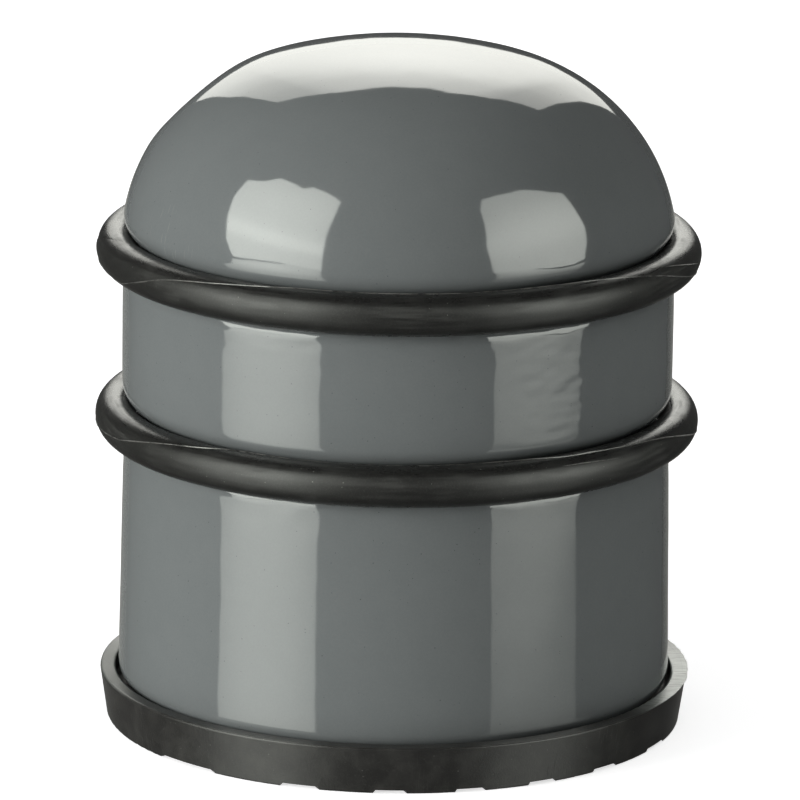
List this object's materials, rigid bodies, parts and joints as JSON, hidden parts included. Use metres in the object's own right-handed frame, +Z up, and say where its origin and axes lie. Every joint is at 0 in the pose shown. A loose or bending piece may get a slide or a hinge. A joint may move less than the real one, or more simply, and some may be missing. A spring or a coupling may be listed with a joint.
{
  "type": "floor door stop",
  "caption": "Heavy domed floor door stop: a painted steel shell with a cast filling, rubber buffer rings in rolled grooves and a ribbed rubber foot.",
  "frame": {"origin": "on the floor, under the middle of the stop", "axes": "+Z up along the stop's axis; the side shown in the picture faces -Y; the foot's ribs run 22 degrees off the Y axis"},
  "size_m": [0.0832, 0.0832, 0.095],
  "materials": {
    "grey_paint": "gloss",
    "cement": "matte",
    "bare_steel": "satin",
    "ring_rubber": "satin",
    "foot_rubber": "matte"
  },
  "bodies": {
    "root": {"shell": "grey_paint", "ballast": "cement", "closing_disc": "bare_steel", "lower_ring": "ring_rubber", "upper_ring": "ring_rubber", "rubber_foot": "foot_rubber"}
  },
  "joints": []
}
